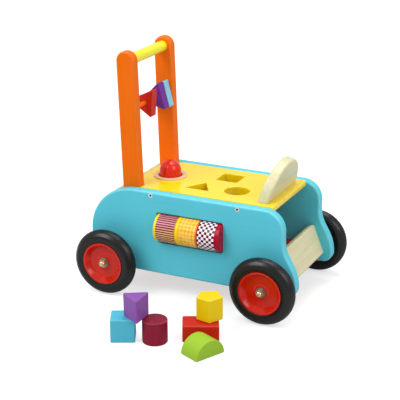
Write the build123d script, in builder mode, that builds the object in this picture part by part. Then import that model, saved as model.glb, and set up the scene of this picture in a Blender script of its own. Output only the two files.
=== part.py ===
from build123d import *
import os
from math import cos, radians, sin, sqrt, tan

# Wooden push-along baby walker with a shape-sorter lid, printed turning drums, spinning
# triangles, a squeaking button and loose blocks beside it.
# Origin: on the floor, midway between the axles and midway between the side panels.
# +X is the way it rolls, +Y its left side, +Z up. Millimetres.

# Running gear
wheelbase = 304.0
track = 261.0                 # between the mid-planes of the left and right wheels
tyre_d = 120.0
tyre_section = 28.0           # diameter of the round rubber section
hub_w = 26.0
hub_r = 38.6
axle_d = 8.0
run_gap = 0.06                # radial clearance of everything that turns on a rod
side_gap = 0.4                # end clearance between pieces that move past each other
seat_gap = 0.05               # radial gap of a rod pushed into a hole

# Side panels
panel_t = 18.0
panel_out = 97.5              # outer face, from the centre plane
body_top = 192.0
body_bottom = 40.0
body_rear = -199.0
rear_arc_r = 86.5
rear_foot_r = 34.0
nose_x = 200.4
nose_r = 18.0
waist_x = 174.4
shoulder_r = 36.0
edge_r = 4.0                  # rounding of all board edges

# Uprights and handle
upright_t = 18.0
upright_w = 35.4
upright_lean = 2.0            # degrees, towards the rear
handle_x, handle_z = -132.3, 416.0
handle_d = 20.0
upright_len = 330.0
spinner_drop = 88.0           # spinner dowel below the handle, along the upright

# Lid
lid_t = 12.0
lid_front = 147.0
lid_tongue = -120.0           # rear end of the lid between the uprights
button_x = -86.3
triangle_side = 47.0
square_side = 41.0
round_d = 45.0
triangle_xy = (-11.5, -33.0)
square_xy = (18.0, 35.5)
round_xy = (57.5, -24.5)

# Roller window
window_x, window_z = -0.8, 128.5
window_w, window_h, window_r = 129.6, 57.0, 5.0
drum_d = 52.0
drum_axis_y = -92.5
drum_axle_d = 6.0

# Bin
floor_z = 66.0                # underside of the bin floor
floor_t = 8.0
board_lean = 21.9
board_t = 12.0
block_len = 41.0

panel_in = panel_out - panel_t
axle_z = tyre_d / 2
lid_z = body_top - lid_t
wheel_y = track / 2
window_half = window_w / 2


def finish(piece, name):
    """Name a finished piece and write its STEP file."""
    piece.part.label = name
    export_step(piece.part, f"parts/{name}.step")
    box = piece.part.bounding_box()
    print(f"{name:24s} {len(piece.part.solids())} solids, size {box.size.X:.1f} {box.size.Y:.1f} {box.size.Z:.1f}")


def across(y):
    """Sketch plane parallel to the side panels at height y; it extrudes towards -Y."""
    return Plane.XZ.offset(-y)


def round_rim(piece, axis, radius):
    """Round the outer outline of the two large faces that look along the axis."""
    rims = [face.outer_wire().edges() for face in piece.faces().filter_by(axis).sort_by(SortBy.AREA)[-2:]]
    fillet([edge for rim in rims for edge in rim], radius)


os.makedirs("parts", exist_ok=True)

# ---------------------------------------------------------------- side panels

rear_cx = body_rear + rear_arc_r
rear_cz = body_top - rear_arc_r
slope_top = (182.0, 110.5)    # straight run down to the nose
slope_end = (190.4, 95.7)
waist_z = 139.0
screw_x = (-76.6, 89.9)       # lid screws
screw_z = lid_z + lid_t / 2
screw_head_d, screw_head_t = 8.0, 2.6
screw_d, screw_len = 5.0, 32.0
socket_w = 3.6
lean_c, lean_s = cos(radians(upright_lean)), sin(radians(upright_lean))
wood_screw_head_d, wood_screw_head_t = 8.0, 3.0
wood_screw_d, wood_screw_len = 4.0, 30.0
upright_screw_drop = (256.0, 312.0)   # below the handle, along the upright
upright_screw_at = [
    (handle_x + drop * lean_s, handle_z - drop * lean_c) for drop in upright_screw_drop
]


def panel_outline():
    """Closed outline of a side panel: round back, level top, waisted front with a round nose."""
    with BuildLine() as outline:
        Line((body_rear + rear_foot_r, body_bottom), (nose_x - nose_r, body_bottom))
        TangentArc((nose_x - nose_r, body_bottom), (nose_x, body_bottom + nose_r), tangent=(1, 0))
        TangentArc((nose_x, body_bottom + nose_r), slope_end, tangent=(0, 1))
        Line(slope_end, slope_top)
        TangentArc((waist_x, waist_z), slope_top, tangent=(0, -1))
        Line((waist_x, waist_z), (waist_x, body_top - shoulder_r))
        TangentArc(
            (waist_x, body_top - shoulder_r), (waist_x - shoulder_r, body_top), tangent=(0, 1)
        )
        Line((waist_x - shoulder_r, body_top), (rear_cx, body_top))
        TangentArc((rear_cx, body_top), (body_rear, rear_cz), tangent=(-1, 0))
        Line((body_rear, rear_cz), (body_rear, body_bottom + rear_foot_r))
        TangentArc(
            (body_rear, body_bottom + rear_foot_r),
            (body_rear + rear_foot_r, body_bottom),
            tangent=(0, -1),
        )
    return outline


slot_end = 9.0                # how far the drum axle reaches into the panel at each end

for side, name in ((-1, "side_panel_right"), (1, "side_panel_left")):
    start = side * panel_in if side < 0 else side * panel_out
    with BuildPart() as panel:
        with BuildSketch(across(start)):
            with BuildLine():
                add(panel_outline().line)
            make_face()
        extrude(amount=panel_t)
        round_rim(panel, Axis.Y, edge_r)
        with BuildSketch(across(start)):
            with Locations((-wheelbase / 2, axle_z), (wheelbase / 2, axle_z)):
                Circle(axle_d / 2 + seat_gap)
            with Locations(*[(x, screw_z) for x in screw_x]):
                Circle(screw_d / 2)
        extrude(amount=panel_t, mode=Mode.SUBTRACT)
        head_start = -panel_out + screw_head_t if side < 0 else panel_out
        with BuildSketch(across(head_start)):
            with Locations(*[(x, screw_z) for x in screw_x]):
                Circle(screw_head_d / 2 + seat_gap)
        extrude(amount=screw_head_t, mode=Mode.SUBTRACT)
        with BuildSketch(across(side * panel_in)):
            with Locations(*upright_screw_at):
                Circle(wood_screw_d / 2)
        extrude(amount=-side * (wood_screw_len - upright_t), mode=Mode.SUBTRACT)
        if side < 0:
            with BuildSketch(across(start)):
                with Locations((window_x, window_z)):
                    RectangleRounded(window_w, window_h, window_r)
            extrude(amount=panel_t, mode=Mode.SUBTRACT)
            with BuildSketch(across(start)):
                with Locations((window_x, window_z)):
                    Rectangle(window_w + 2 * slot_end, drum_axle_d + 2 * seat_gap)
            extrude(amount=-drum_axis_y - panel_in + drum_axle_d / 2, mode=Mode.SUBTRACT)
    finish(panel, name)

# ---------------------------------------------------------------- uprights and handle

handle_seat = 10.0            # depth of the handle in each upright
dowel_d, dowel_seat = 8.0, 6.0
upright_in = panel_in - upright_t
spinner_x = handle_x + spinner_drop * lean_s
spinner_z = handle_z - spinner_drop * lean_c


def upright_plane(y):
    """Plane of an upright at height y: local y runs up the leaning board from the handle."""
    return Plane(origin=(handle_x, y, handle_z), x_dir=(lean_c, 0, lean_s), z_dir=(0, -1, 0))


for side, name in ((-1, "upright_right"), (1, "upright_left")):
    start = -upright_in if side < 0 else panel_in
    inner = side * upright_in
    with BuildPart() as upright:
        with BuildSketch(upright_plane(start)):
            Circle(upright_w / 2)
            with Locations((0, -upright_len / 2)):
                Rectangle(upright_w, upright_len)
        extrude(amount=upright_t)
        round_rim(upright, Axis.Y, edge_r)
        with BuildSketch(upright_plane(inner)):
            Circle(handle_d / 2 + seat_gap)
        extrude(amount=-side * handle_seat, mode=Mode.SUBTRACT)
        with BuildSketch(upright_plane(inner)):
            with Locations((0, -spinner_drop)):
                Circle(dowel_d / 2 + seat_gap)
        extrude(amount=-side * dowel_seat, mode=Mode.SUBTRACT)
        with BuildSketch(upright_plane(start)):
            with Locations(*[(0, -drop) for drop in upright_screw_drop]):
                Circle(wood_screw_d / 2)
        extrude(amount=upright_t, mode=Mode.SUBTRACT)
        with BuildSketch(upright_plane(inner)):
            with Locations(*[(0, -drop) for drop in upright_screw_drop]):
                Circle(wood_screw_head_d / 2 + seat_gap)
        extrude(amount=-side * wood_screw_head_t, mode=Mode.SUBTRACT)
    finish(upright, name)

with BuildPart() as handle_bar:
    with BuildSketch(across(upright_in + handle_seat)):
        with Locations((handle_x, handle_z)):
            Circle(handle_d / 2)
    extrude(amount=2 * (upright_in + handle_seat))
    chamfer(handle_bar.edges().filter_by(GeomType.CIRCLE), 1.0)
finish(handle_bar, "handle_bar")

with BuildPart() as spinner_dowel:
    with BuildSketch(across(upright_in + dowel_seat)):
        with Locations((spinner_x, spinner_z)):
            Circle(dowel_d / 2)
    extrude(amount=2 * (upright_in + dowel_seat))
finish(spinner_dowel, "spinner_dowel")

# ---------------------------------------------------------------- spinning triangles

spinner_side = 53.0
spinner_t = 18.0
spinner_r = spinner_side / sqrt(3)    # centre to corner
spinners = (
    ("spinner_red", -16.0, 176.0),
    ("spinner_purple", 24.0, 196.0),
    ("spinner_blue", 42.4, 193.5),
)

for name, near_y, turn in spinners:
    with BuildPart() as spinner:
        with BuildSketch(across(near_y + spinner_t)):
            with Locations(Location((spinner_x, spinner_z), turn)):
                RegularPolygon(spinner_r, 3)
        extrude(amount=spinner_t)
        fillet(spinner.edges().filter_by(Axis.Y), 2.5)
        fillet(spinner.faces().filter_by(Axis.Y).edges(), 1.2)
        with BuildSketch(across(near_y + spinner_t)):
            with Locations((spinner_x, spinner_z)):
                Circle(dowel_d / 2 + run_gap)
        extrude(amount=spinner_t, mode=Mode.SUBTRACT)
    finish(spinner, name)

# ---------------------------------------------------------------- lid with the sorter holes

ring_r = 30.5
ring_hole_r = 22.0
ring_t = 3.0
button_r = 20.5
button_bore_r = 21.5
pin_d, pin_len, pin_y = 8.0, 18.0, 38.0
pin_depth = 9.0
screen_lean = 16.0
screen_x = 133.0              # foot of the windscreen's front face
screen_r = 67.5               # half width of its foot
screen_h = 60.0
screen_t = 19.6
upright_front = handle_x + (handle_z - lid_z) * lean_s / lean_c + upright_w / 2 / lean_c + 0.4
hole_edge_r = 1.5
liner_t = 6.0                 # board glued under the lid round the sorter holes
liner_rear, liner_front = -46.0, 126.0
lid_half = panel_in
pin_x = screen_x - screen_t / 2

with BuildPart() as top_panel:
    with BuildSketch(Plane.XY.offset(lid_z)):
        with Locations(((upright_front + lid_front) / 2, 0)):
            Rectangle(lid_front - upright_front, 2 * lid_half)
        with Locations(((lid_tongue + upright_front) / 2, 0)):
            Rectangle(upright_front - lid_tongue, 2 * (upright_in - side_gap))
    extrude(amount=lid_t)
    fillet(top_panel.faces().sort_by(Axis.X)[-1].edges().filter_by(Axis.Y), edge_r)
    with BuildSketch(Plane.XY.offset(lid_z)):
        with Locations((button_x, 0)):
            Circle(button_bore_r)
        with Locations(triangle_xy):
            RegularPolygon(triangle_side / sqrt(3), 3, rotation=90)
        with Locations(square_xy):
            RectangleRounded(square_side, square_side, 1.5)
        with Locations(round_xy):
            Circle(round_d / 2)
    extrude(amount=lid_t, mode=Mode.SUBTRACT)
    upper = top_panel.faces().sort_by(Axis.Z)[-1]
    fillet([edge for wire in upper.inner_wires() for edge in wire.edges()], hole_edge_r)
    with BuildSketch(Plane.XY.offset(body_top)):
        with Locations((pin_x, -pin_y), (pin_x, pin_y)):
            Circle(pin_d / 2 + seat_gap)
    extrude(amount=-pin_depth, mode=Mode.SUBTRACT)
    for side in (-1, 1):
        with BuildSketch(across(side * lid_half)):
            with Locations(*[(x, screw_z) for x in screw_x]):
                Circle(screw_d / 2)
        extrude(amount=side * (screw_len - panel_t), mode=Mode.SUBTRACT)
finish(top_panel, "top_panel")

with BuildPart() as lid_liner:
    with BuildSketch(Plane.XY.offset(lid_z - liner_t)):
        with Locations(((liner_rear + liner_front) / 2, 0)):
            Rectangle(liner_front - liner_rear, 2 * (lid_half - side_gap))
        with Locations(triangle_xy):
            RegularPolygon(triangle_side / sqrt(3), 3, rotation=90, mode=Mode.SUBTRACT)
        with Locations(square_xy):
            RectangleRounded(square_side, square_side, 1.5, mode=Mode.SUBTRACT)
        with Locations(round_xy):
            Circle(round_d / 2, mode=Mode.SUBTRACT)
    extrude(amount=liner_t)
    chamfer(lid_liner.faces().sort_by(Axis.Z)[0].outer_wire().edges(), 1.0)
finish(lid_liner, "lid_liner")

# The windscreen leans forward, and its foot is cut level with the lid.
screen_c, screen_s = cos(radians(screen_lean)), sin(radians(screen_lean))
screen_plane = Plane(
    origin=(screen_x, 0, body_top), x_dir=(0, 1, 0), z_dir=(screen_c, 0, -screen_s)
)
screen_top = screen_h / screen_c
screen_arc_r = (screen_r ** 2 + screen_top ** 2) / (2 * screen_top)
foot_drop = 8.0               # the arch runs on below the lid's level, then is cut off
foot_half = sqrt(screen_arc_r ** 2 - (screen_arc_r - screen_top - foot_drop) ** 2)
with BuildPart() as windscreen:
    with BuildSketch(screen_plane):
        with BuildLine():
            Line((-foot_half, -foot_drop), (foot_half, -foot_drop))
            ThreePointArc((foot_half, -foot_drop), (0, screen_top), (-foot_half, -foot_drop))
        make_face()
    extrude(amount=-screen_t)
    fillet(windscreen.edges().filter_by(GeomType.CIRCLE), 4.5)
    split(bisect_by=Plane.XY.offset(body_top), keep=Keep.TOP)
    with BuildSketch(Plane.XY.offset(body_top)):
        with Locations((pin_x, -pin_y), (pin_x, pin_y)):
            Circle(pin_d / 2 + seat_gap)
    extrude(amount=pin_len - pin_depth, mode=Mode.SUBTRACT)
finish(windscreen, "windscreen")

with BuildPart() as windscreen_pins:
    with BuildSketch(Plane.XY.offset(body_top - pin_depth)):
        with Locations((pin_x, -pin_y), (pin_x, pin_y)):
            Circle(pin_d / 2)
    extrude(amount=pin_len)
finish(windscreen_pins, "windscreen_pins")

# ---------------------------------------------------------------- bent back cover

cover_t = 6.0
cover_r = rear_arc_r - 0.2
cover_x = rear_cx - cover_r
cover_inner_r = cover_r - cover_t
cover_start = lid_tongue - rear_cx - 0.2


def arc_height(radius, run):
    """Height of a circle of the given radius above its centre, at a run from the centre."""
    return sqrt(radius ** 2 - run ** 2)


with BuildPart() as rear_cover:
    with BuildSketch(across(panel_in)):
        with BuildLine():
            top_out = (rear_cx + cover_start, rear_cz + arc_height(cover_r, cover_start))
            top_in = (rear_cx + cover_start, rear_cz + arc_height(cover_inner_r, cover_start))
            mid_out = (rear_cx - cover_r * cos(radians(45)), rear_cz + cover_r * sin(radians(45)))
            mid_in = (
                rear_cx - cover_inner_r * cos(radians(45)),
                rear_cz + cover_inner_r * sin(radians(45)),
            )
            ThreePointArc(top_out, mid_out, (cover_x, rear_cz))
            Line((cover_x, rear_cz), (cover_x, floor_z))
            Line((cover_x, floor_z), (cover_x + cover_t, floor_z))
            Line((cover_x + cover_t, floor_z), (cover_x + cover_t, rear_cz))
            ThreePointArc((cover_x + cover_t, rear_cz), mid_in, top_in)
            Line(top_in, top_out)
        make_face()
    extrude(amount=2 * panel_in)
    for start in (-upright_in + side_gap, panel_in):
        with BuildSketch(upright_plane(start)):
            with Locations((0, -upright_len / 2)):
                Rectangle(upright_w + 2 * side_gap, upright_len)
        extrude(amount=upright_t + side_gap, mode=Mode.SUBTRACT)
finish(rear_cover, "rear_cover")

# ---------------------------------------------------------------- squeaking button

button_flange_r = 24.5
button_flange_t = 3.0
cup_r, cup_wall, cup_depth = 30.0, 2.5, 42.0
cup_flange_r, cup_flange_t = 36.0, 2.5
cup_z = lid_z - cup_depth
bellows_r = 14.0
dome_r = 19.8                 # the button tapers a little up to its round top
dome_z = body_top + 10.4

with BuildPart() as button_ring:
    with BuildSketch(Plane.XY.offset(body_top)):
        with Locations((button_x, 0)):
            Circle(ring_r)
            Circle(ring_hole_r, mode=Mode.SUBTRACT)
    extrude(amount=ring_t)
    fillet(button_ring.faces().sort_by(Axis.Z)[-1].edges(), 1.2)
finish(button_ring, "button_ring")

with BuildPart() as horn_button:
    with BuildSketch(Plane.XZ):
        with BuildLine():
            flange_z = lid_z - side_gap
            Polyline(
                (button_x, dome_z + dome_r),
                (button_x, flange_z - button_flange_t),
                (button_x + button_flange_r, flange_z - button_flange_t),
                (button_x + button_flange_r, flange_z),
                (button_x + button_r, flange_z),
                (button_x + button_r, body_top),
                (button_x + dome_r, dome_z),
            )
            CenterArc((button_x, dome_z), dome_r, 0, 90)
        make_face()
    revolve(axis=Axis((button_x, 0, 0), (0, 0, 1)))
finish(horn_button, "horn_button")

bellows_z = cup_z + cup_wall
bellows_top = lid_z - side_gap - button_flange_t - side_gap
bellows_folds = 5
fold_h = (bellows_top - bellows_z) / bellows_folds
with BuildPart() as squeaker_bellows:
    for fold in range(bellows_folds):
        with BuildSketch(Plane.XY.offset(bellows_z + fold * fold_h)):
            with Locations((button_x, 0)):
                Circle(bellows_r - 4.0)
        with BuildSketch(Plane.XY.offset(bellows_z + (fold + 0.5) * fold_h)):
            with Locations((button_x, 0)):
                Circle(bellows_r)
        with BuildSketch(Plane.XY.offset(bellows_z + (fold + 1) * fold_h)):
            with Locations((button_x, 0)):
                Circle(bellows_r - 4.0)
        loft(ruled=True)
finish(squeaker_bellows, "squeaker_bellows")

cup_screw_r = 33.0
with BuildPart() as horn_cup:
    with BuildSketch(Plane.XY.offset(cup_z)):
        with Locations((button_x, 0)):
            Circle(cup_r)
    extrude(amount=cup_depth)
    with BuildSketch(Plane.XY.offset(lid_z - cup_flange_t)):
        with Locations((button_x, 0)):
            Circle(cup_flange_r)
    extrude(amount=cup_flange_t)
    with BuildSketch(Plane.XY.offset(cup_z + cup_wall)):
        with Locations((button_x, 0)):
            Circle(cup_r - cup_wall)
    extrude(amount=cup_depth - cup_wall, mode=Mode.SUBTRACT)
    with BuildSketch(Plane.XY.offset(lid_z - cup_flange_t)):
        with Locations((button_x, 0)):
            with PolarLocations(cup_screw_r, 3):
                Circle(1.5)
    extrude(amount=cup_flange_t, mode=Mode.SUBTRACT)
finish(horn_cup, "horn_cup")

with BuildPart() as cup_screws:
    with BuildSketch(Plane.XY.offset(lid_z - cup_flange_t - 2.0)):
        with Locations((button_x, 0)):
            with PolarLocations(cup_screw_r, 3):
                Circle(2.8)
    extrude(amount=2.0)
    with BuildSketch(Plane.XY.offset(lid_z - cup_flange_t)):
        with Locations((button_x, 0)):
            with PolarLocations(cup_screw_r, 3):
                Circle(1.5)
    extrude(amount=cup_flange_t)
finish(cup_screws, "cup_screws")

# ---------------------------------------------------------------- bin

board_c, board_s = cos(radians(board_lean)), sin(radians(board_lean))
board_h = 58.0
board_mid = (175.8, 0, 85.2)          # centre of the board's front face
board_plane = Plane(origin=board_mid, x_dir=(0, 1, 0), z_dir=(board_c, 0, board_s))
floor_rear = cover_x + cover_t
floor_top = floor_z + floor_t
board_foot_x = board_mid[0] + (board_mid[2] - floor_top) * tan(radians(board_lean)) - board_t / board_c
floor_front = board_foot_x - 1.5      # a slot between the floor and the leaning board
cleat_w, cleat_h, cleat_half = 10.0, 12.0, 130.0

with BuildPart() as bin_front_board:
    with BuildSketch(board_plane):
        Rectangle(2 * panel_in, board_h)
    extrude(amount=-board_t)
    corners = bin_front_board.edges().filter_by(lambda e: abs(e.length - board_t) < 0.01)
    fillet(corners.sort_by(Axis.Z)[-2:], 7.0)
    round_rim(bin_front_board, board_plane, 3.0)
finish(bin_front_board, "bin_front_board")

with BuildPart() as bin_floor:
    with BuildSketch(Plane.XY.offset(floor_z)):
        with Locations(((floor_rear + floor_front) / 2, 0)):
            Rectangle(floor_front - floor_rear, 2 * panel_in)
    extrude(amount=floor_t)
finish(bin_floor, "bin_floor")

with BuildPart() as floor_cleats:
    for y in (panel_in - cleat_w / 2, cleat_w / 2 - panel_in):
        with BuildSketch(Plane.XY.offset(floor_z - cleat_h)):
            with Locations((0, y)):
                Rectangle(2 * cleat_half, cleat_w)
        extrude(amount=cleat_h)
    chamfer(floor_cleats.faces().sort_by(Axis.Z)[:2].edges().filter_by(Axis.X), 1.5)
finish(floor_cleats, "floor_cleats")

# ---------------------------------------------------------------- screws

with BuildPart() as lid_screws:
    for side in (-1, 1):
        with BuildSketch(across(side * panel_out)):
            with Locations(*[(x, screw_z) for x in screw_x]):
                Circle(screw_head_d / 2)
        extrude(amount=side * screw_head_t)
        with BuildSketch(across(side * panel_out)):
            with Locations(*[(x, screw_z) for x in screw_x]):
                Circle(screw_d / 2)
        extrude(amount=side * screw_len)
        with BuildSketch(across(side * panel_out)):
            with Locations(*[(x, screw_z) for x in screw_x]):
                RegularPolygon(socket_w / 2, 6, major_radius=False)
        extrude(amount=side * 2.0, mode=Mode.SUBTRACT)
finish(lid_screws, "lid_screws")

with BuildPart() as upright_screws:
    for side in (-1, 1):
        for radius, depth in (
            (wood_screw_head_d / 2, wood_screw_head_t),
            (wood_screw_d / 2, wood_screw_len),
        ):
            with BuildSketch(upright_plane(side * upright_in)):
                with Locations(*[(0, -drop) for drop in upright_screw_drop]):
                    Circle(radius)
            extrude(amount=-side * depth)
finish(upright_screws, "upright_screws")

# ---------------------------------------------------------------- axles and wheels

washer_t, washer_r = 1.2, 9.0
dish = 8.0                    # how far the hub's outer boss lies below its rim
hub_face = wheel_y + hub_w / 2 - dish
nut_y = hub_face + side_gap + washer_t
nut_w, nut_h, dome_h = 13.0, 6.0, 5.5
axle_end = nut_y + nut_h
spacer_r = 11.0
spacer_end = wheel_y - hub_w / 2 - side_gap
tyre_ring = tyre_d / 2 - tyre_section / 2

for x, name in ((wheelbase / 2, "front_axle"), (-wheelbase / 2, "rear_axle")):
    with BuildPart() as axle:
        with BuildSketch(across(axle_end)):
            with Locations((x, axle_z)):
                Circle(axle_d / 2)
        extrude(amount=2 * axle_end)
        chamfer(axle.edges().filter_by(GeomType.CIRCLE), 0.8)
    finish(axle, name)

axle_points = [(x, axle_z) for x in (-wheelbase / 2, wheelbase / 2)]

with BuildPart() as wheel_spacers:
    for start in (spacer_end, -panel_out):
        with BuildSketch(across(start)):
            with Locations(*axle_points):
                Circle(spacer_r)
                Circle(axle_d / 2 + seat_gap, mode=Mode.SUBTRACT)
        extrude(amount=spacer_end - panel_out)
finish(wheel_spacers, "wheel_spacers")

with BuildPart() as axle_washers:
    for start in (nut_y, -nut_y + washer_t):
        with BuildSketch(across(start)):
            with Locations(*axle_points):
                Circle(washer_r)
                Circle(axle_d / 2 + seat_gap, mode=Mode.SUBTRACT)
        extrude(amount=washer_t)
finish(axle_washers, "axle_washers")

with BuildPart() as cap_nuts:
    for side in (-1, 1):
        for x, z in axle_points:
            with BuildSketch(across(side * nut_y)):
                with Locations((x, z)):
                    RegularPolygon(nut_w / 2, 6, major_radius=False)
                    Circle(axle_d / 2 + seat_gap, mode=Mode.SUBTRACT)
            extrude(amount=-side * nut_h)
            with BuildSketch(across(side * (nut_y + nut_h))):
                with Locations((x, z)):
                    Circle(nut_w / 2 - 0.6)
            extrude(amount=-side * dome_h)
    rims = cap_nuts.edges().filter_by(GeomType.CIRCLE).filter_by(
        lambda e: abs(abs(e.center().Y) - nut_y - nut_h - dome_h) < 0.01
    )
    fillet(rims, dome_h - 0.4)
finish(cap_nuts, "cap_nuts")

rim_w = 3.2
boss_r = 12.0
dish_foot_r = 28.8            # foot of the sloping wall of the outer dish
recess, recess_foot_r = 5.0, 31.5     # ring recess on the inner side
for x, end in ((wheelbase / 2, "front"), (-wheelbase / 2, "rear")):
    for side, hand in ((-1, "right"), (1, "left")):
        middle = Plane(origin=(x, side * wheel_y, axle_z), x_dir=(1, 0, 0), z_dir=(0, 0, 1))
        with BuildPart() as hub:
            with BuildSketch(middle):
                with Locations((hub_r / 2, 0)):
                    Rectangle(hub_r, hub_w)
                with Locations((tyre_ring, 0)):
                    Circle(tyre_section / 2 + seat_gap, mode=Mode.SUBTRACT)
                outer_y, inner_y = side * hub_w / 2, -side * hub_w / 2
                with BuildLine():
                    Polyline(
                        (0, outer_y),
                        (hub_r - rim_w, outer_y),
                        (dish_foot_r, outer_y - side * (dish + 1.0)),
                        (boss_r + 2.5, outer_y - side * (dish + 1.0)),
                        (boss_r, outer_y - side * dish),
                        (0, outer_y - side * dish),
                        close=True,
                    )
                make_face(mode=Mode.SUBTRACT)
                with BuildLine():
                    Polyline(
                        (boss_r, inner_y),
                        (hub_r - rim_w, inner_y),
                        (recess_foot_r, inner_y + side * recess),
                        (boss_r + 2.5, inner_y + side * recess),
                        close=True,
                    )
                make_face(mode=Mode.SUBTRACT)
                with Locations(((axle_d / 2 + run_gap) / 2, 0)):
                    Rectangle(axle_d / 2 + run_gap, 2 * hub_w, mode=Mode.SUBTRACT)
            revolve(axis=Axis((x, 0, axle_z), (0, 1, 0)))
        finish(hub, f"hub_{end}_{hand}")
        with BuildPart() as tyre:
            with BuildSketch(middle):
                with Locations((tyre_ring, 0)):
                    Circle(tyre_section / 2)
            revolve(axis=Axis((x, 0, axle_z), (0, 1, 0)))
        finish(tyre, f"tyre_{end}_{hand}")

# ---------------------------------------------------------------- drums in the side window

drum_washer_t, drum_washer_r = 2.4, 7.0
drum_start = window_x - window_half + drum_washer_t + 2 * side_gap
drum_w = (window_x + window_half - drum_start) / 3 - side_gap
drum_names = ("drum_striped", "drum_mosaic", "drum_checkered")

for index, name in enumerate(drum_names):
    start_x = drum_start + index * (drum_w + side_gap)
    with BuildPart() as drum:
        with BuildSketch(Plane.YZ.offset(start_x)):
            with Locations((drum_axis_y, window_z)):
                Circle(drum_d / 2)
        extrude(amount=drum_w)
        fillet(drum.edges().filter_by(GeomType.CIRCLE), 1.2)
        with BuildSketch(Plane.YZ.offset(start_x)):
            with Locations((drum_axis_y, window_z)):
                Circle(drum_axle_d / 2 + run_gap)
        extrude(amount=drum_w, mode=Mode.SUBTRACT)
    finish(drum, name)

with BuildPart() as drum_axle:
    with BuildSketch(Plane.YZ.offset(window_x - window_half - slot_end + side_gap)):
        with Locations((drum_axis_y, window_z)):
            Circle(drum_axle_d / 2)
    extrude(amount=window_w + 2 * (slot_end - side_gap))
finish(drum_axle, "drum_axle")

with BuildPart() as drum_washer:
    with BuildSketch(Plane.YZ.offset(window_x - window_half + side_gap)):
        with Locations((drum_axis_y, window_z)):
            Circle(drum_washer_r)
            Circle(drum_axle_d / 2 + run_gap, mode=Mode.SUBTRACT)
    extrude(amount=drum_washer_t)
finish(drum_washer, "drum_washer")

keeper_w, keeper_h, keeper_t = 20.0, 32.0, 8.0
with BuildPart() as axle_keepers:
    for end in (-1, 1):
        keeper_x = window_x + end * (window_half + keeper_w / 2 + 1.0)
        tongue_x = window_x + end * (window_half + slot_end / 2)
        with BuildSketch(across(-panel_in + keeper_t)):
            with Locations((keeper_x, window_z)):
                RectangleRounded(keeper_w, keeper_h, 3.0)
        extrude(amount=keeper_t)
        with BuildSketch(across(-panel_in)):
            with Locations((tongue_x, window_z)):
                Rectangle(slot_end - 2.0, drum_axle_d)
        extrude(amount=-drum_axis_y - panel_in - drum_axle_d / 2)
finish(axle_keepers, "axle_keepers")

# ---------------------------------------------------------------- loose sorter blocks

block_soft = 2.0
cube_side = 41.0
cylinder_d = 42.5
prism_side = 44.0
pentagon_r = 23.5
half_r = 29.5
brick_w, brick_h = 61.0, 29.5
facing = 26.0                 # the cube and the brick stand turned by this much
stack_gap = 0.3

# centres on the floor
cube_at, cylinder_at, prism_at = (-34.6, -278.6), (19.0, -267.5), (-8.9, -279.1)
brick_at, pentagon_at, half_at = (80.6, -221.5), (89.0, -205.0), (108.3, -272.3)
half_turn = 64.5

with BuildPart() as block_cube:
    with BuildSketch(Plane.XY):
        with Locations(Location(cube_at, facing)):
            Rectangle(cube_side, cube_side)
    extrude(amount=block_len)
    fillet(block_cube.edges(), block_soft)
finish(block_cube, "block_cube")

with BuildPart() as block_cylinder:
    with BuildSketch(Plane.XY):
        with Locations(cylinder_at):
            Circle(cylinder_d / 2)
    extrude(amount=block_len)
    fillet(block_cylinder.edges().filter_by(GeomType.CIRCLE), block_soft)
finish(block_cylinder, "block_cylinder")

with BuildPart() as block_triangle:
    with BuildSketch(Plane.XY.offset(block_len + stack_gap)):
        with Locations(Location(prism_at, 180)):
            RegularPolygon(prism_side / sqrt(3), 3)
    extrude(amount=block_len)
    fillet(block_triangle.edges(), block_soft)
finish(block_triangle, "block_triangle")

with BuildPart() as block_brick:
    with BuildSketch(Plane.XY):
        with Locations(Location(brick_at, facing)):
            Rectangle(brick_w, block_len)
    extrude(amount=brick_h)
    fillet(block_brick.edges(), block_soft)
finish(block_brick, "block_brick")

with BuildPart() as block_pentagon:
    with BuildSketch(Plane.XY.offset(brick_h + stack_gap)):
        with Locations(Location(pentagon_at, facing - 90)):
            RegularPolygon(pentagon_r, 5)
    extrude(amount=block_len)
    fillet(block_pentagon.edges(), block_soft)
finish(block_pentagon, "block_pentagon")

half_c, half_s = cos(radians(half_turn)), sin(radians(half_turn))
half_plane = Plane(
    origin=(half_at[0] + half_s * block_len / 2, half_at[1] - half_c * block_len / 2, 0),
    x_dir=(half_c, half_s, 0),
    z_dir=(half_s, -half_c, 0),
)
with BuildPart() as block_half_round:
    with BuildSketch(half_plane):
        with BuildLine():
            Line((-half_r, 0), (half_r, 0))
            ThreePointArc((half_r, 0), (0, half_r), (-half_r, 0))
        make_face()
    extrude(amount=-block_len)
    fillet(block_half_round.edges(), block_soft)
finish(block_half_round, "block_half_round")
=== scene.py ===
import math

import bpy
import numpy as np
from mathutils import Matrix, Vector


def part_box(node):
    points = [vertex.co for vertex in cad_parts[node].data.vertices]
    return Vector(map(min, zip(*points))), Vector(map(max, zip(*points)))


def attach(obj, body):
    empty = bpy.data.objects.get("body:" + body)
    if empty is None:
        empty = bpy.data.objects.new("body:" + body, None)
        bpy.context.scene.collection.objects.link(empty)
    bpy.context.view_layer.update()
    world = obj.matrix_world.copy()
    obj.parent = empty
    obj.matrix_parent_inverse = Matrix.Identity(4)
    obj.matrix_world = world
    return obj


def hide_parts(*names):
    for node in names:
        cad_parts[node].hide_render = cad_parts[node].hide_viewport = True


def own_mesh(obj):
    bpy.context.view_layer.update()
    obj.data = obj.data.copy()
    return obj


bl_info = {
    "name": "Wooden Baby Walker",
    "version": (1, 0, 0),
    "blender": (4, 5, 0),
    "location": "View3D > Sidebar > Walker",
    "description": "Paints and details a wooden baby walker with a sorter lid, printed drums and blocks",
    "category": "Add Mesh",
}

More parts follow.
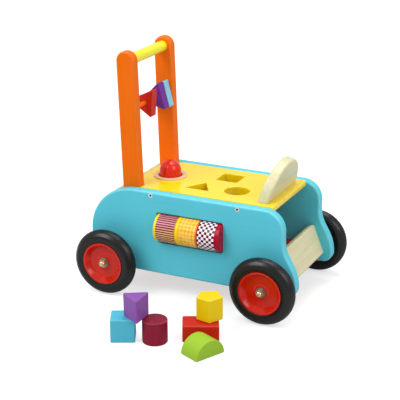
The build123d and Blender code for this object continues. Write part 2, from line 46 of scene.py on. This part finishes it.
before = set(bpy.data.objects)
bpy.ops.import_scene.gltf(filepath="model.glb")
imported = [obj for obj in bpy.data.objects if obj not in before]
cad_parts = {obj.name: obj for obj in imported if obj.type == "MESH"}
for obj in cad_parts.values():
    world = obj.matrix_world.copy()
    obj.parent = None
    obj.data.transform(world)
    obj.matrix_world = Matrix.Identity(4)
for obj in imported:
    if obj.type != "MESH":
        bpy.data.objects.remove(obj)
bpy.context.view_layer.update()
MM = 0.001
SECTION_STEPS, TYRE_STEPS = 160, 224  # points round a tyre's section, and round the wheel
BELLOWS_STEPS, BELLOWS_FOLDS = 96, 5
BELLOWS_WALL, FOLD_DEPTH = 1.4 * MM, 1.9 * MM
CAMERA_TARGET = (-0.0268, 0.0, 0.1537)
CAMERA_DISTANCE = 2.1413
CAMERA_ANGLES = (25.723, 19.799, -0.1455)  # azimuth, elevation and roll in degrees
LIGHT_TARGET = (0.0, -0.05, 0.12)
FLOOR_REACH = 6.0  # half the floor's side


# ---------------------------------------------------------------- colours and nodes


def srgb(code):
    """A sRGB hex colour as linear red, green, blue and alpha."""
    parts = [int(code[i : i + 2], 16) / 255 for i in (1, 3, 5)]
    return [p / 12.92 if p <= 0.04045 else ((p + 0.055) / 1.055) ** 2.4 for p in parts] + [1.0]


def add(tree, kind, links=None, **settings):
    """Adds one node, sets its properties, and sets or links each of its named inputs."""
    made = tree.nodes.new(kind)
    for name, value in settings.items():
        setattr(made, name, value)
    for name, value in (links or {}).items():
        if isinstance(value, bpy.types.NodeSocket):
            tree.links.new(value, made.inputs[name])
        else:
            made.inputs[name].default_value = value
    return made


def begin(name, **constants):
    """A new material, its tree, its shader with constants set on the sockets, and object coordinates."""
    material = bpy.data.materials.new(name)
    material.use_nodes = True
    tree = material.node_tree
    shader = tree.nodes["Principled BSDF"]
    for socket, value in constants.items():
        shader.inputs[socket.replace("_", " ")].default_value = value
    coords = add(tree, "ShaderNodeTexCoord").outputs["Object"]
    return material, tree, shader, coords


def spread(tree, value, low, high, to_low, to_high):
    """A pattern's value stretched from one range to another, clamped at both ends."""
    made = add(
        tree,
        "ShaderNodeMapRange",
        {"Value": value, "From Min": low, "From Max": high, "To Min": to_low, "To Max": to_high},
    )
    return made.outputs["Result"]


def grain_field(tree, coords, along, width, length):
    """Wood fibres: noise stretched along the grain axis, one every width and each about length long."""
    scale = [1 / width] * 3
    scale["XYZ".index(along)] = 1 / length
    stretched = add(tree, "ShaderNodeMapping", {"Vector": coords, "Scale": scale})
    return add(
        tree,
        "ShaderNodeTexNoise",
        {"Vector": stretched.outputs[0], "Scale": 1.0, "Detail": 4.0, "Roughness": 0.6},
    ).outputs[0]


def mottling(tree, coords, size, detail=2.0):
    """Soft blotches about one size across, in metres."""
    return add(
        tree, "ShaderNodeTexNoise", {"Vector": coords, "Scale": 1 / size, "Detail": detail}
    ).outputs[0]


def tint(tree, base, other, share):
    """Two colours mixed by a pattern."""
    made = add(tree, "ShaderNodeMix", data_type="RGBA")
    for socket, value in ((6, base), (7, other), (0, share)):
        if isinstance(value, bpy.types.NodeSocket):
            tree.links.new(value, made.inputs[socket])
        else:
            made.inputs[socket].default_value = value
    return made.outputs[2]


def relief(tree, shader, *layers):
    """Stacks bumps, each a pattern and its depth in metres, on the shader's normal."""
    normal = None
    for pattern, depth in layers:
        links = {"Height": pattern, "Distance": depth, "Strength": 1.0}
        if normal:
            links["Normal"] = normal
        normal = add(tree, "ShaderNodeBump", links).outputs[0]
    tree.links.new(normal, shader.inputs["Normal"])


# ---------------------------------------------------------------- materials


def rim_wear_and_highlight(tree, coords, facing):
    """1 in patches where a rounded edge turns away from the broad faces, 0 elsewhere: these patches are
    rubbed wear and also a painted highlight on the rim.

    The broad faces look along the facing axis, so the edge is where that part of the normal is
    neither near 1 nor near 0."""
    normal = add(tree, "ShaderNodeTexCoord").outputs["Normal"]
    along = add(tree, "ShaderNodeSeparateXYZ", {"Vector": normal}).outputs[facing]
    facing_on = add(tree, "ShaderNodeMath", {0: along}, operation="ABSOLUTE").outputs[0]
    inner = spread(tree, facing_on, 0.97, 0.85, 0.0, 1.0)
    outer = spread(tree, facing_on, 0.02, 0.25, 0.0, 1.0)
    patches = spread(tree, mottling(tree, coords, 0.012, 3.0), 0.35, 0.6, 0.35, 1.0)
    rim = add(tree, "ShaderNodeMath", {0: inner, 1: outer}, operation="MULTIPLY").outputs[0]
    return add(tree, "ShaderNodeMath", {0: rim, 1: patches}, operation="MULTIPLY").outputs[0]


def painted_wood(name, colour, along="X", gloss=0.38, coat=0.0, facing="Y", wear_and_highlight=0.3, shine=1.27):
    """Sprayed water-based enamel on beech or birch board.

    The colour is even with a slight cloud of thinner and thicker paint, fibres telegraph faintly
    through it along the board, rounded edges are painted paler in patches, both as rubbed wear and as
    a painted highlight, and are duller, and there are a few scuffs."""
    material, tree, shader, coords = begin(
        name, IOR=shine, Coat_Weight=coat, Coat_Roughness=0.06, Coat_IOR=1.45
    )
    dark = [c * 0.88 for c in colour[:3]] + [1.0]
    pale = [c + (1 - c) * 0.10 for c in colour[:3]] + [1.0]
    rubbed_and_highlit = [c + (1 - c) * 0.35 for c in colour[:3]] + [1.0]
    cloud = mottling(tree, coords, 0.08, 1.5)
    fibres = grain_field(tree, coords, along, 0.0028, 0.11)
    scuffs = spread(tree, mottling(tree, coords, 0.016, 4.0), 0.70, 0.82, 0.0, 0.3)
    body = tint(tree, colour, dark, spread(tree, cloud, 0.35, 0.75, 0.0, 0.3))
    body = tint(tree, body, pale, spread(tree, fibres, 0.50, 0.80, 0.0, 0.22))
    body = tint(tree, body, pale, scuffs)
    # painted highlight: the rims are mixed toward a paler tone for the light rounded edges catch, as well as
    # for rubbed paint
    edge = rim_wear_and_highlight(tree, coords, facing)
    share = spread(tree, edge, 0.0, 1.0, 0.0, wear_and_highlight)
    tree.links.new(tint(tree, body, rubbed_and_highlit, share), shader.inputs["Base Color"])
    rough = spread(tree, mottling(tree, coords, 0.02), 0.3, 0.7, gloss - 0.04, gloss + 0.05)
    duller = add(tree, "ShaderNodeMath", {0: edge, 1: 0.08, 2: rough}, operation="MULTIPLY_ADD")
    tree.links.new(duller.outputs[0], shader.inputs["Roughness"])
    # fibres stand 0.02 mm proud under a spray texture about 1.5 mm across
    relief(tree, shader, (fibres, 0.00002), (mottling(tree, coords, 0.0015), 0.000004))
    return material


def varnished_wood(name, light, dark, along="X", ring=0.006):
    """Clear-varnished beech: warm fibres, darker growth bands and the short flecks of beech."""
    material, tree, shader, coords = begin(name, IOR=1.5, Coat_Weight=0.35, Coat_Roughness=0.2)
    bands = grain_field(tree, coords, along, ring, 0.12)
    fibres = grain_field(tree, coords, along, 0.0012, 0.03)
    flecks = spread(tree, grain_field(tree, coords, along, 0.0009, 0.004), 0.62, 0.74, 0.0, 0.35)
    body = tint(tree, light, dark, spread(tree, bands, 0.42, 0.70, 0.0, 0.5))
    body = tint(tree, body, dark, spread(tree, fibres, 0.5, 0.8, 0.0, 0.4))
    tree.links.new(tint(tree, body, dark, flecks), shader.inputs["Base Color"])
    tree.links.new(spread(tree, fibres, 0.3, 0.7, 0.34, 0.48), shader.inputs["Roughness"])
    relief(tree, shader, (fibres, 0.00008), (mottling(tree, coords, 0.0015), 0.00002))
    return material


def moulded_plastic(name, colour, rough, grit=0.0009, depth=0.00002, shine=1.33):
    """Moulded ABS: an even colour, slightly deeper where it cooled thick, with a fine spark-eroded grain.

    Gloss comes from the polish of the mould, and hair-fine scratches dull it along X."""
    material, tree, shader, coords = begin(name, IOR=shine)
    dark = [c * 0.80 for c in colour[:3]] + [1.0]
    cloud = mottling(tree, coords, 0.03)
    tree.links.new(
        tint(tree, colour, dark, spread(tree, cloud, 0.35, 0.75, 0.0, 0.5)),
        shader.inputs["Base Color"],
    )
    scratches = grain_field(tree, coords, "X", 0.0006, 0.02)
    tree.links.new(
        spread(tree, scratches, 0.35, 0.75, rough - 0.04, rough + 0.1), shader.inputs["Roughness"]
    )
    relief(tree, shader, (mottling(tree, coords, grit), depth), (scratches, depth / 2))
    return material


def rubber(name, colour, dust):
    """Moulded black rubber: satin from the mould, with a fine grain, greying where floor dust clings."""
    material, tree, shader, coords = begin(name, IOR=1.45)
    patches = spread(tree, mottling(tree, coords, 0.018, 5.0), 0.50, 0.80, 0.0, 0.25)
    tree.links.new(tint(tree, colour, dust, patches), shader.inputs["Base Color"])
    tree.links.new(
        spread(tree, mottling(tree, coords, 0.006), 0.3, 0.7, 0.26, 0.36), shader.inputs["Roughness"]
    )
    relief(tree, shader, (mottling(tree, coords, 0.0008), 0.00003))
    return material


def metal(name, colour, rough, along, socket_shade_plane=0.0):
    """Plated or turned metal: bright, with fine machining marks and a few dull fingerprints.

    Where a socket plane is given, everything nearer the centre plane than that is painted dark,
    as painted shade at the bottom of a socket."""
    material, tree, shader, coords = begin(name, Metallic=1.0)
    marks = grain_field(tree, coords, along, 0.0004, 0.02)
    dull = [c * 0.75 for c in colour[:3]] + [1.0]
    prints = spread(tree, mottling(tree, coords, 0.007, 3.0), 0.45, 0.7, 0.0, 0.6)
    body = tint(tree, colour, dull, prints)
    # painted shade: below the given plane the colour goes to near black, standing in for the shade in a
    # socket
    if socket_shade_plane:
        offset = add(tree, "ShaderNodeSeparateXYZ", {"Vector": coords}).outputs["Y"]
        depth = add(tree, "ShaderNodeMath", {0: offset}, operation="ABSOLUTE").outputs[0]
        body = tint(tree, body, srgb("#1C1C1A"), spread(tree, depth, socket_shade_plane - 0.2 * MM, socket_shade_plane, 1.0, 0.0))
    tree.links.new(body, shader.inputs["Base Color"])
    tree.links.new(spread(tree, marks, 0.3, 0.7, rough, rough + 0.14), shader.inputs["Roughness"])
    relief(tree, shader, (marks, 0.00001))
    return material


def drum_print(name, node, kind, count, rims, tones):
    """Paper wrap printed in small shapes and glued round a drum, between painted rims.

    Along the drum the pattern counts object X in cells; round it, the angle about the drum's
    axis times its radius counts cells the other way, with a whole number of cells, count, to a turn.
    Diamonds count the sum and the difference of the two instead."""
    low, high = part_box(node)
    centre, radius = (low + high) / 2, (high.z - low.z) / 2
    material, tree, shader, coords = begin(name, IOR=1.2, Coat_Weight=0.12, Coat_Roughness=0.12)
    split = add(tree, "ShaderNodeSeparateXYZ", {"Vector": coords}).outputs

    def maths(operation, first, second=0.0):
        made = add(tree, "ShaderNodeMath", operation=operation)
        for socket, value in enumerate((first, second)):
            if isinstance(value, bpy.types.NodeSocket):
                tree.links.new(value, made.inputs[socket])
            else:
                made.inputs[socket].default_value = value
        return made.outputs[0]

    x = maths("SUBTRACT", split["X"], low.x)
    y = maths("SUBTRACT", split["Y"], centre.y)
    z = maths("SUBTRACT", split["Z"], centre.z)
    angle = maths("ARCTAN2", z, maths("MULTIPLY", y, -1.0))
    turn = maths("MULTIPLY", angle, radius)
    cell = 2 * math.pi * radius / count
    if kind == "stripes":
        phase = maths("FRACT", maths("DIVIDE", turn, cell))
        line = maths("GREATER_THAN", phase, 0.5)
        # the ground is warm below the axis and turns pink over the top, between level and 30 degrees up
        zone = spread(tree, maths("SINE", angle), 0.0, 0.5, 0.0, 1.0)
        fill = tint(tree, tones[0], tint(tree, tones[1], tones[2], zone), line)
    else:
        across, around = x, turn
        if kind == "diamonds":
            across, around = maths("ADD", x, turn), maths("SUBTRACT", x, turn)
        column = maths("FLOOR", maths("DIVIDE", across, cell))
        row = maths("FLOOR", maths("DIVIDE", around, cell))
        odd = maths("MODULO", maths("ADD", maths("ADD", column, row), 400.0), 2.0)
        fill = tint(tree, tones[0], tones[1], odd)
        if kind == "diamonds":
            cells = add(tree, "ShaderNodeCombineXYZ", {"X": column, "Y": row})
            chance = add(tree, "ShaderNodeTexWhiteNoise", {"Vector": cells.outputs[0]}).outputs[0]
            fill = tint(tree, fill, tones[2], spread(tree, chance, 0.4, 1.0, 0.0, 0.35))
    left = maths("LESS_THAN", x, rims[0])
    right = maths("GREATER_THAN", x, high.x - low.x - rims[2])
    fill = tint(tree, fill, rims[1], left)
    fill = tint(tree, fill, rims[3], right)
    faded = [0.9, 0.85, 0.8, 1.0]
    wear_and_highlight = spread(tree, mottling(tree, coords, 0.006, 5.0), 0.68, 0.85, 0.0, 0.25)
    tree.links.new(tint(tree, fill, faded, wear_and_highlight), shader.inputs["Base Color"])
    tree.links.new(
        spread(tree, mottling(tree, coords, 0.008), 0.3, 0.7, 0.26, 0.36), shader.inputs["Roughness"]
    )
    relief(tree, shader, (mottling(tree, coords, 0.0012), 0.00002))
    return material


def coat(material, *names):
    """Puts one material on the named pieces."""
    for name in names:
        obj = bpy.data.objects[name]
        obj.data.materials.clear()
        obj.data.materials.append(material)


# ---------------------------------------------------------------- surfaces


def grid_mesh(name, points, wrap_u, wrap_v, body, material):
    """A piece from a grid of points, rows by columns by 3, joined round either way, that rides on a body.

    Each face takes the points (i, j), (i, j+1), (i+1, j+1) and (i+1, j); both wraps close the surface."""
    rows, columns = points.shape[:2]
    index = np.arange(rows * columns).reshape(rows, columns)
    if wrap_u:
        index = np.vstack([index, index[:1]])
    if wrap_v:
        index = np.hstack([index, index[:, :1]])
    quads = np.stack(
        [index[:-1, :-1], index[:-1, 1:], index[1:, 1:], index[1:, :-1]], axis=-1
    ).reshape(-1, 4)
    mesh = bpy.data.meshes.new(name)
    mesh.from_pydata(points.reshape(-1, 3), [], quads)
    mesh.shade_smooth()
    piece = bpy.data.objects.new(name, mesh)
    bpy.context.scene.collection.objects.link(piece)
    mesh.materials.append(material)
    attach(piece, body)
    return piece


def turned(profile, centre, steps, upright=False):
    """A closed profile turned about a line along Y, or along Z if upright.

    The profile is radius and height pairs; point (i, j) is the centre plus height i along the line
    and radius i times (cosine, sine) of angle j across it, in X and the third axis."""
    angle = np.linspace(0, 2 * np.pi, steps, endpoint=False)
    radius, height = profile[:, :1], profile[:, 1:] + 0 * angle
    out, side = radius * np.cos(angle), radius * np.sin(angle)
    across = [out, -side, height] if upright else [out, height, side]
    return np.stack(across, axis=-1) + np.array(centre)


def smooth_step(value, low, high):
    """0 below low, 1 above high, and 3t squared minus 2t cubed between them."""
    t = np.clip((value - low) / (high - low), 0, 1)
    return t * t * (3 - 2 * t)


# ---------------------------------------------------------------- settings


def colour_property(name, description, code):
    return bpy.props.FloatVectorProperty(
        name=name, description=description, subtype="COLOR", size=4, min=0, max=1, default=srgb(code)
    )


class WALKER_PG_paint(bpy.types.PropertyGroup):
    """Colours of the painted boards and blocks."""

    blue: colour_property("Panel blue", "Enamel on the two side panels", "#59C9DC")
    orange: colour_property("Upright orange", "Enamel on the uprights and the spinner dowel", "#F06E02")
    yellow: colour_property("Lid yellow", "Enamel on the lid, back cover and handle", "#FAD900")
    red: colour_property("Block red", "Enamel on the brick, red triangle and bin floor", "#C6200C")
    crimson: colour_property("Block crimson", "Enamel on the cylinder and a drum's rims", "#8A1230")
    purple: colour_property("Block purple", "Enamel on the purple triangle and prism", "#8850A4")
    pale_blue: colour_property("Block blue", "Enamel on the cube and the blue triangle", "#50BAD2")
    green: colour_property("Block green", "Enamel on the half-round block", "#97BE30")
    wood: colour_property("Pale wood", "Varnished board of the windscreen and bin front", "#DCD6AC")
    wood_dark: colour_property("Pale wood grain", "Growth bands in the pale boards", "#C6BC86")


class WALKER_PG_wheels(bpy.types.PropertyGroup):
    """Tyre and hub settings."""

    hub: colour_property("Hub red", "Moulded hubs", "#CE1E08")
    tyre: colour_property("Tyre black", "Moulded tyres", "#070807")
    grooves: bpy.props.IntProperty(
        name="Tread grooves",
        description="Fine grooves round the crown of each tyre",
        default=5,
        min=0,
        max=9,
    )
    groove_depth: bpy.props.FloatProperty(
        name="Groove depth", description="Depth of the tread grooves", default=0.5 * MM, unit="LENGTH"
    )


class WALKER_PG_stage(bpy.types.PropertyGroup):
    """Camera and light settings."""

    lens: bpy.props.FloatProperty(
        name="Lens", description="Focal length on a 36 mm sensor", default=106.05, unit="CAMERA"
    )
    key_power: bpy.props.FloatProperty(
        name="Key light", description="Power of the large soft key light", default=58.0, unit="POWER"
    )
    surroundings: bpy.props.FloatProperty(
        name="Surroundings", description="Brightness of the white room that lights it", default=0.56, min=0
    )
    floor_lift: bpy.props.FloatProperty(
        name="Floor lift", description="How far the floor is lifted towards white", default=0.6, min=0
    )


# ---------------------------------------------------------------- operators


class WALKER_OT_boards(bpy.types.Operator):
    """Paint the side panels, uprights, handle, lid, back cover and bin"""

    bl_idname = "walker.boards"
    bl_label = "Paint Boards"

    def execute(self, context):
        paint = context.scene.walker_paint
        # satin enamel on long boards, fibres along X
        coat(painted_wood("blue_enamel_board", list(paint.blue)), "side_panel_right", "side_panel_left")
        # uprights are the same enamel with the grain running up them
        coat(
            painted_wood("orange_enamel_board", list(paint.orange), along="Z", wear_and_highlight=0.08, shine=1.17),
            "upright_right",
            "upright_left",
        )
        coat(painted_wood("orange_enamel_dowel", list(paint.orange), along="Y", wear_and_highlight=0.0), "spinner_dowel")
        # the lid is glossed: it mirrors what stands on it, and its rims take a small share of wear and
        # painted highlight
        coat(
            painted_wood(
                "yellow_gloss_board", list(paint.yellow), gloss=0.22, coat=0.7, facing="Z", wear_and_highlight=0.15
            ),
            "top_panel",
            "lid_liner",
        )
        coat(
            painted_wood("yellow_bent_ply", list(paint.yellow), along="Y", gloss=0.26, coat=0.5, wear_and_highlight=0.0),
            "rear_cover",
        )
        coat(
            painted_wood("yellow_gloss_handle", srgb("#F4EC1E"), along="Y", gloss=0.22, coat=0.8, wear_and_highlight=0.0),
            "handle_bar",
        )
        coat(painted_wood("red_enamel_board", list(paint.red), facing="Z"), "bin_floor")
        # windscreen and bin front: clear-varnished pale board
        coat(
            varnished_wood("varnished_pale_board", list(paint.wood), list(paint.wood_dark), along="Y"),
            "windscreen",
            "bin_front_board",
        )
        coat(
            varnished_wood("varnished_beech", srgb("#EBCBA0"), srgb("#C99A66"), along="X", ring=0.004),
            "button_ring",
            "floor_cleats",
            "axle_keepers",
        )
        coat(
            varnished_wood("beech_dowel_wood", srgb("#E3BE8F"), srgb("#BC8C58"), along="Y", ring=0.003),
            "wheel_spacers",
            "windscreen_pins",
        )
        return {"FINISHED"}


class WALKER_OT_spinners(bpy.types.Operator):
    """Paint the three triangles that spin on the dowel"""

    bl_idname = "walker.spinners"
    bl_label = "Paint Spinners"

    def execute(self, context):
        paint = context.scene.walker_paint
        coat(painted_wood("red_enamel_triangle", list(paint.red), along="Z", wear_and_highlight=0.12), "spinner_red")
        coat(painted_wood("purple_enamel_triangle", srgb("#6F3296"), along="Z", wear_and_highlight=0.12), "spinner_purple")
        coat(painted_wood("blue_enamel_triangle", srgb("#8CCBE6"), along="Z", wear_and_highlight=0.12), "spinner_blue")
        return {"FINISHED"}


class WALKER_OT_drums(bpy.types.Operator):
    """Wrap the three drums in their printed papers"""

    bl_idname = "walker.drums"
    bl_label = "Wrap Drums"

    def execute(self, context):
        crimson, yellow = srgb("#B00028"), srgb("#F7D60E")
        coat(
            drum_print(
                "striped_paper_wrap",
                "drum_striped",
                "stripes",
                38,
                (5 * MM, yellow, 0.6 * MM, srgb("#D9A520")),
                (srgb("#5E0A1C"), srgb("#F4BC86"), srgb("#DC8E96")),
            ),
            "drum_striped",
        )
        coat(
            drum_print(
                "diamond_paper_wrap",
                "drum_mosaic",
                "diamonds",
                24,
                (6 * MM, srgb("#F9D30C"), 3 * MM, srgb("#EF7A38")),
                (srgb("#F9CE3E"), srgb("#F0A028"), srgb("#FBE6A0")),
            ),
            "drum_mosaic",
        )
        coat(
            drum_print(
                "checked_paper_wrap",
                "drum_checkered",
                "checks",
                34,
                (1.8 * MM, srgb("#9C0028"), 8.5 * MM, crimson),
                (srgb("#FAF4F8"), srgb("#62002C"), crimson),
            ),
            "drum_checkered",
        )
        return {"FINISHED"}


class WALKER_OT_wheels(bpy.types.Operator):
    """Mould the grooved tyres and finish the hubs"""

    bl_idname = "walker.wheels"
    bl_label = "Make Wheels"

    def execute(self, context):
        wheels = context.scene.walker_wheels
        tyre_rubber = rubber("moulded_tyre_rubber", list(wheels.tyre), srgb("#26261F"))
        hub_plastic = moulded_plastic("moulded_hub_plastic", list(wheels.hub), 0.14, shine=1.42)
        for end in ("front", "rear"):
            for hand in ("right", "left"):
                node = f"tyre_{end}_{hand}"
                low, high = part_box(node)
                centre = (low + high) / 2
                section = (high.y - low.y) / 2
                ring = (high.z - low.z) / 2 - section
                # round section; grooves are cosine dips across the crown, and a raised
                # band stands on each shoulder where a tyre is marked
                turn = np.linspace(0, 2 * np.pi, SECTION_STEPS, endpoint=False)
                across = section * np.sin(turn)
                crown = (np.cos(turn) > 0) * smooth_step(-np.abs(across), -7 * MM, -5.5 * MM)
                pitch = 11 * MM / max(wheels.grooves, 1)
                dips = np.clip(np.cos(2 * np.pi * across / pitch) - 0.35, 0, 1) / 0.65
                shoulder = smooth_step(-np.abs(np.abs(turn - np.pi) - 1.85), -0.22, -0.16)
                depth = section - 0.25 * MM - wheels.groove_depth * dips * crown * (wheels.grooves > 0)
                depth = depth + 0.25 * MM * shoulder
                profile = np.stack([ring + depth * np.cos(turn), depth * np.sin(turn)], axis=-1)
                grid_mesh(
                    f"tyre_tread_{end}_{hand}",
                    turned(profile, centre, TYRE_STEPS),
                    True,
                    True,
                    f"wheel_{end}_{hand}",
                    tyre_rubber,
                )
                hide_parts(node)
                coat(tyre_rubber, node)
                coat(hub_plastic, f"hub_{end}_{hand}")
        return {"FINISHED"}


class WALKER_OT_button(bpy.types.Operator):
    """Finish the squeaking button, its cup and bellows"""

    bl_idname = "walker.button"
    bl_label = "Finish Button"

    def execute(self, context):
        coat(
            moulded_plastic(
                "polished_button_plastic", srgb("#E4240C"), 0.08, grit=4 * MM, depth=0.004 * MM, shine=1.46
            ),
            "horn_button",
        )
        coat(moulded_plastic("moulded_cup_plastic", srgb("#DAD9D2"), 0.45), "horn_cup")
        bellows_rubber = rubber("bellows_rubber", srgb("#3E3F40"), srgb("#6A6A66"))
        coat(bellows_rubber, "squeaker_bellows")
        # the outer radius is a cosine of the height, one wave to a fold, and the wall is even all the way up
        low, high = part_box("squeaker_bellows")
        climb = np.linspace(0, 1, 20 * BELLOWS_FOLDS + 1)
        middle = (high.x - low.x) / 2 - FOLD_DEPTH - 0.2 * MM
        outer = middle - FOLD_DEPTH * np.cos(2 * np.pi * BELLOWS_FOLDS * climb)
        radius = np.concatenate([outer, outer[::-1] - BELLOWS_WALL])
        height = np.concatenate([climb, climb[::-1]]) * (high.z - low.z)
        foot = ((low.x + high.x) / 2, (low.y + high.y) / 2, low.z)
        folds = grid_mesh(
            "bellows_folds",
            turned(np.stack([radius, height], axis=-1), foot, BELLOWS_STEPS, upright=True),
            True,
            True,
            "frame",
            bellows_rubber,
        )
        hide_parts("squeaker_bellows")
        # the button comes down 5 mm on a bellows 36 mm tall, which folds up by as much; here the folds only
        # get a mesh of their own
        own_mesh(folds)
        return {"FINISHED"}


class WALKER_OT_hardware(bpy.types.Operator):
    """Finish the axles, washers, screws and cap nuts"""

    bl_idname = "walker.hardware"
    bl_label = "Finish Hardware"

    def execute(self, context):
        # bright zinc plate over steel: pale grey with drawn marks
        steel = metal("zinc_plated_steel", srgb("#C9CCD0"), 0.22, "Y")
        coat(steel, "front_axle", "rear_axle", "upright_screws")
        # washers are plain steel, duller and darker than the plated nuts
        coat(metal("dull_steel_washer", srgb("#8C8B88"), 0.4, "X"), "axle_washers")
        # socket heads are tumbled and brighter, and their sockets are painted dark as painted shade
        head_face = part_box("lid_screws")[1].y
        coat(metal("bright_socket_screw", srgb("#F4F4F2"), 0.34, "Y", head_face - 0.4 * MM), "lid_screws")
        rods = metal("zinc_plated_rod", srgb("#C4C7CB"), 0.24, "X")
        coat(rods, "drum_axle", "drum_washer", "cup_screws")
        # pale brass-plated cap nuts, warm in tone
        coat(metal("brass_plate", srgb("#DDCEA4"), 0.2, "Y"), "cap_nuts")
        return {"FINISHED"}


class WALKER_OT_blocks(bpy.types.Operator):
    """Paint the loose sorter blocks"""

    bl_idname = "walker.blocks"
    bl_label = "Paint Blocks"

    def execute(self, context):
        paint = context.scene.walker_paint
        # the last number is each block's share of rim wear and painted highlight; the half-round has no flat
        # top to find its rounded edges from
        for name, colour, along, wear_and_highlight in (
            ("cube", paint.pale_blue, "Z", 0.16),
            ("cylinder", paint.crimson, "Z", 0.16),
            ("triangle", paint.purple, "Z", 0.16),
            ("brick", paint.red, "X", 0.16),
            ("pentagon", srgb("#ECCB00"), "Z", 0.16),
            ("half_round", paint.green, "X", 0.0),
        ):
            enamel = painted_wood(
                f"{name}_block_enamel", list(colour), along=along, facing="Z", wear_and_highlight=wear_and_highlight
            )
            coat(enamel, f"block_{name}")
        return {"FINISHED"}


class WALKER_OT_stage(bpy.types.Operator):
    """Set the pale floor, the soft studio lights and the camera"""

    bl_idname = "walker.stage"
    bl_label = "Set Stage"

    def execute(self, context):
        settings = context.scene.walker_stage
        context.scene.view_settings.view_transform = "Standard"
        corners = FLOOR_REACH * np.array([[-1, -1, 0], [1, -1, 0], [1, 1, 0], [-1, 1, 0]], float)
        mesh = bpy.data.meshes.new("studio_floor")
        mesh.from_pydata(corners, [], [(0, 1, 2, 3)])
        floor = bpy.data.objects.new("studio_floor", mesh)
        context.scene.collection.objects.link(floor)
        # white paper sweep: matt, and lifted to white where it is looked at directly
        material, tree, shader, coords = begin("white_paper_floor", Roughness=0.7)
        shader.inputs["Base Color"].default_value = (0.55, 0.55, 0.55, 1)
        seen = add(tree, "ShaderNodeLightPath").outputs["Is Camera Ray"]
        shader.inputs["Emission Color"].default_value = (1, 1, 1, 1)
        lift = add(tree, "ShaderNodeMath", {0: seen, 1: settings.floor_lift}, operation="MULTIPLY")
        tree.links.new(lift.outputs[0], shader.inputs["Emission Strength"])
        mesh.materials.append(material)

        world = bpy.data.worlds.new("studio")
        context.scene.world = world
        world.use_nodes = True
        sky = world.node_tree
        seen = add(sky, "ShaderNodeLightPath").outputs["Is Camera Ray"]
        level = add(
            sky,
            "ShaderNodeMapRange",
            {"Value": seen, "To Min": settings.surroundings, "To Max": 1.05},
        )
        background = sky.nodes["Background"]
        background.inputs["Color"].default_value = (1, 1, 1, 1)
        sky.links.new(level.outputs["Result"], background.inputs["Strength"])

        for name, place, size, power in (
            ("key_light", (-1.4, -1.9, 2.6), 1.8, settings.key_power),
            ("fill_light", (2.4, -0.8, 1.9), 1.6, settings.key_power * 0.45),
            ("top_light", (0.1, 0.6, 2.6), 1.6, settings.key_power * 0.5),
        ):
            light = bpy.data.lights.new(name, "AREA")
            light.size = size
            light.energy = power
            lamp = bpy.data.objects.new(name, light)
            context.scene.collection.objects.link(lamp)
            lamp.location = place
            lamp.rotation_mode = "QUATERNION"
            aim = Vector(LIGHT_TARGET) - lamp.location
            lamp.rotation_quaternion = aim.to_track_quat("-Z", "Y")

        target = Vector(CAMERA_TARGET)
        azimuth, elevation, roll = (math.radians(angle) for angle in CAMERA_ANGLES)
        back = Vector(
            (
                math.sin(azimuth) * math.cos(elevation),
                -math.cos(azimuth) * math.cos(elevation),
                math.sin(elevation),
            )
        )
        right = (-back).cross(Vector((0, 0, 1))).normalized()
        up = right.cross(-back)
        turned_right = right * math.cos(roll) + up * math.sin(roll)
        turned_up = up * math.cos(roll) - right * math.sin(roll)
        data = bpy.data.cameras.new("camera")
        data.sensor_width = 36
        data.lens = settings.lens
        camera = bpy.data.objects.new("camera", data)
        context.scene.collection.objects.link(camera)
        rows = Matrix((turned_right, turned_up, back)).transposed().to_4x4()
        rows.translation = target + back * CAMERA_DISTANCE
        camera.matrix_world = rows
        context.scene.camera = camera
        return {"FINISHED"}


class WALKER_PT_sidebar(bpy.types.Panel):
    """Buttons for each group of the walker's pieces"""

    bl_label = "Baby Walker"
    bl_idname = "WALKER_PT_sidebar"
    bl_space_type = "VIEW_3D"
    bl_region_type = "UI"
    bl_category = "Walker"

    def draw(self, context):
        for operator in OPERATORS:
            self.layout.operator(operator.bl_idname)


OPERATORS = (
    WALKER_OT_boards,
    WALKER_OT_spinners,
    WALKER_OT_drums,
    WALKER_OT_wheels,
    WALKER_OT_button,
    WALKER_OT_hardware,
    WALKER_OT_blocks,
    WALKER_OT_stage,
)
GROUPS = {
    "walker_paint": WALKER_PG_paint,
    "walker_wheels": WALKER_PG_wheels,
    "walker_stage": WALKER_PG_stage,
}


def register():
    for cls in (*GROUPS.values(), *OPERATORS, WALKER_PT_sidebar):
        bpy.utils.register_class(cls)
    for name, group in GROUPS.items():
        setattr(bpy.types.Scene, name, bpy.props.PointerProperty(type=group))


def unregister():
    for name in GROUPS:
        delattr(bpy.types.Scene, name)
    for cls in reversed((*GROUPS.values(), *OPERATORS, WALKER_PT_sidebar)):
        bpy.utils.unregister_class(cls)


def main():
    """Registers the add-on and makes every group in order."""
    register()
    for operator in OPERATORS:
        group, name = operator.bl_idname.split(".")
        getattr(getattr(bpy.ops, group), name)()


if __name__ == "__main__":
    main()
